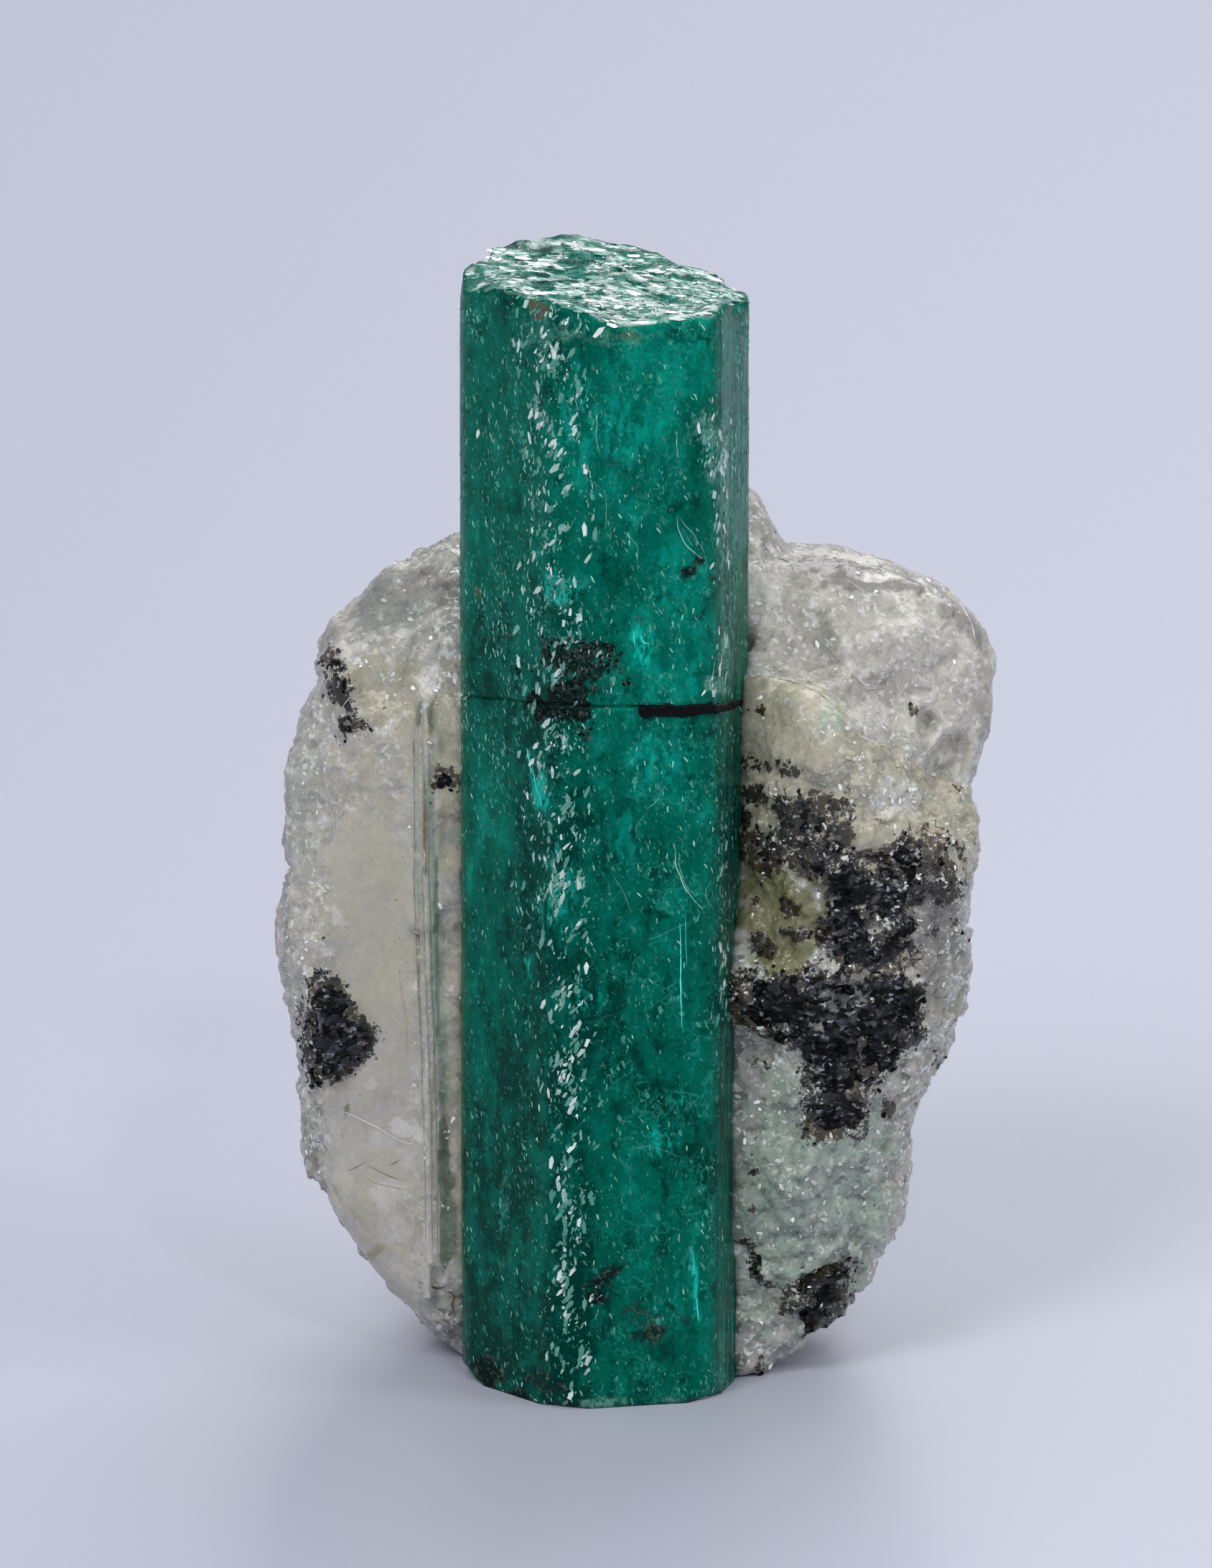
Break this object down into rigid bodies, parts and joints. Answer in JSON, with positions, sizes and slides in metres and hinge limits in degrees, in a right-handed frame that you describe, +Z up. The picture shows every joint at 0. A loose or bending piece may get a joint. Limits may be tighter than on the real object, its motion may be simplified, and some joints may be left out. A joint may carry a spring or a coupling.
{
  "type": "emerald crystal specimen in quartz matrix",
  "caption": "Upright hexagonal emerald crystal with a broken top, embedded in a lumpy milky quartz matrix that carries black biotite mica; stands on its flat base",
  "frame": {"origin": "centre of the crystal's flat base, on the crystal's axis, which is also the surface that the specimen rests on", "axes": "+Z up along the crystal's axis, -Y towards the front that shows the crystal's face, +X to the right seen from the front"},
  "size_m": [0.0337, 0.0205, 0.0534],
  "materials": {
    "emerald": "deep green see-through crystal with flaked glints",
    "milky_quartz": "milky, rough broken quartz",
    "biotite": "black mica with bright flakes"
  },
  "bodies": {
    "root": {"emerald_crystal": "emerald", "quartz_matrix": "milky_quartz", "biotite_main_mass": "biotite", "biotite_lower_right": "biotite", "biotite_upper_left": "biotite", "biotite_lower_left": "biotite", "biotite_ridge_speck": "biotite", "biotite_crystal_clot": "biotite", "biotite_crack_seam": "biotite"}
  },
  "joints": []
}
